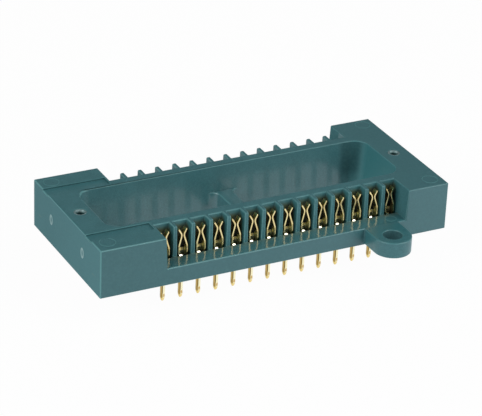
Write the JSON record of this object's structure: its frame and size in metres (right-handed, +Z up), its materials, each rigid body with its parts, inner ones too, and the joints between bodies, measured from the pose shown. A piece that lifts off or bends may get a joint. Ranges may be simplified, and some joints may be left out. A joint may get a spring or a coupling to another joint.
{
  "type": "ic socket adapter",
  "caption": "Low moulded adapter for a dual-in-line chip, with rows of sprung contacts in open pockets, solder tails, an open well and mounting ears.",
  "frame": {"origin": "under the middle of the whole part, level with the tips of the solder tails", "axes": "+X along the contact rows towards the shorter end, +Y across them to the rear row, +Z up"},
  "size_m": [0.0504, 0.0328, 0.0108],
  "materials": {
    "housing": "dark teal moulded plastic with a low sheen",
    "contacts": "gold plating on formed copper alloy",
    "inserts": "bright turned metal"
  },
  "bodies": {
    "root": {"housing": "housing", "contact_front_01": "contacts", "contact_front_02": "contacts", "contact_front_03": "contacts", "contact_front_04": "contacts", "contact_front_05": "contacts", "contact_front_06": "contacts", "contact_front_07": "contacts", "contact_front_08": "contacts", "contact_front_09": "contacts", "contact_front_10": "contacts", "contact_front_11": "contacts", "contact_front_12": "contacts", "contact_front_13": "contacts", "contact_front_14": "contacts", "contact_rear_01": "contacts", "contact_rear_02": "contacts", "contact_rear_03": "contacts", "contact_rear_04": "contacts", "contact_rear_05": "contacts", "contact_rear_06": "contacts", "contact_rear_07": "contacts", "contact_rear_08": "contacts", "contact_rear_09": "contacts", "contact_rear_10": "contacts", "contact_rear_11": "contacts", "contact_rear_12": "contacts", "contact_rear_13": "contacts", "contact_rear_14": "contacts", "insert_left": "inserts", "insert_right": "inserts"}
  },
  "joints": []
}
